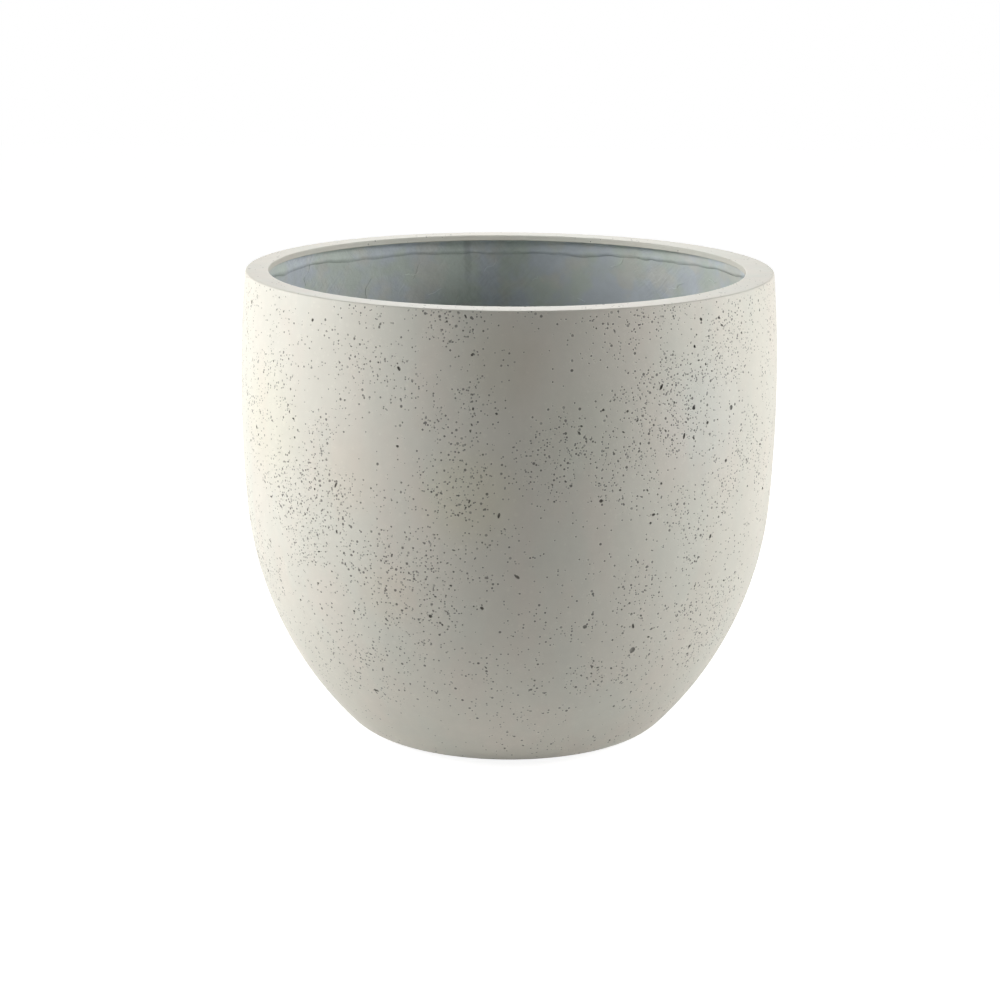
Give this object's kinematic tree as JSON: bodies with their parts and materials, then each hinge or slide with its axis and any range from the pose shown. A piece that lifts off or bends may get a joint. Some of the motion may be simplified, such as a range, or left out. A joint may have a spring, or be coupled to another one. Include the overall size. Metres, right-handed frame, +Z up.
{
  "type": "egg planter",
  "caption": "Egg-shaped floor planter: pale pitted concrete face over a grey glass-fibre laminate, flat rim with an overhanging lip, wide mouth, drain hole with a rubber stopper.",
  "frame": {"origin": "middle of the foot ring's underside, on the floor", "axes": "+Z up along the egg's turning axis; +X to the right and +Y away in the view from the front"},
  "size_m": [0.5999, 0.6, 0.525],
  "materials": {
    "face_concrete": "matt fine cast concrete with air pinholes",
    "backing_laminate": "raw hand-laid glass-fibre cement, rough",
    "stopper_rubber": "moulded rubber, satin"
  },
  "bodies": {
    "pot": {"concrete_face": "face_concrete", "fibre_backing": "backing_laminate", "rim_band": "backing_laminate"},
    "plug": {"drain_plug": "stopper_rubber"}
  },
  "joints": [
    {"name": "plug_pull", "type": "slide", "parent": "pot", "child": "plug", "axis": [0, 0, 1], "range_m": [0, 0.06]}
  ]
}
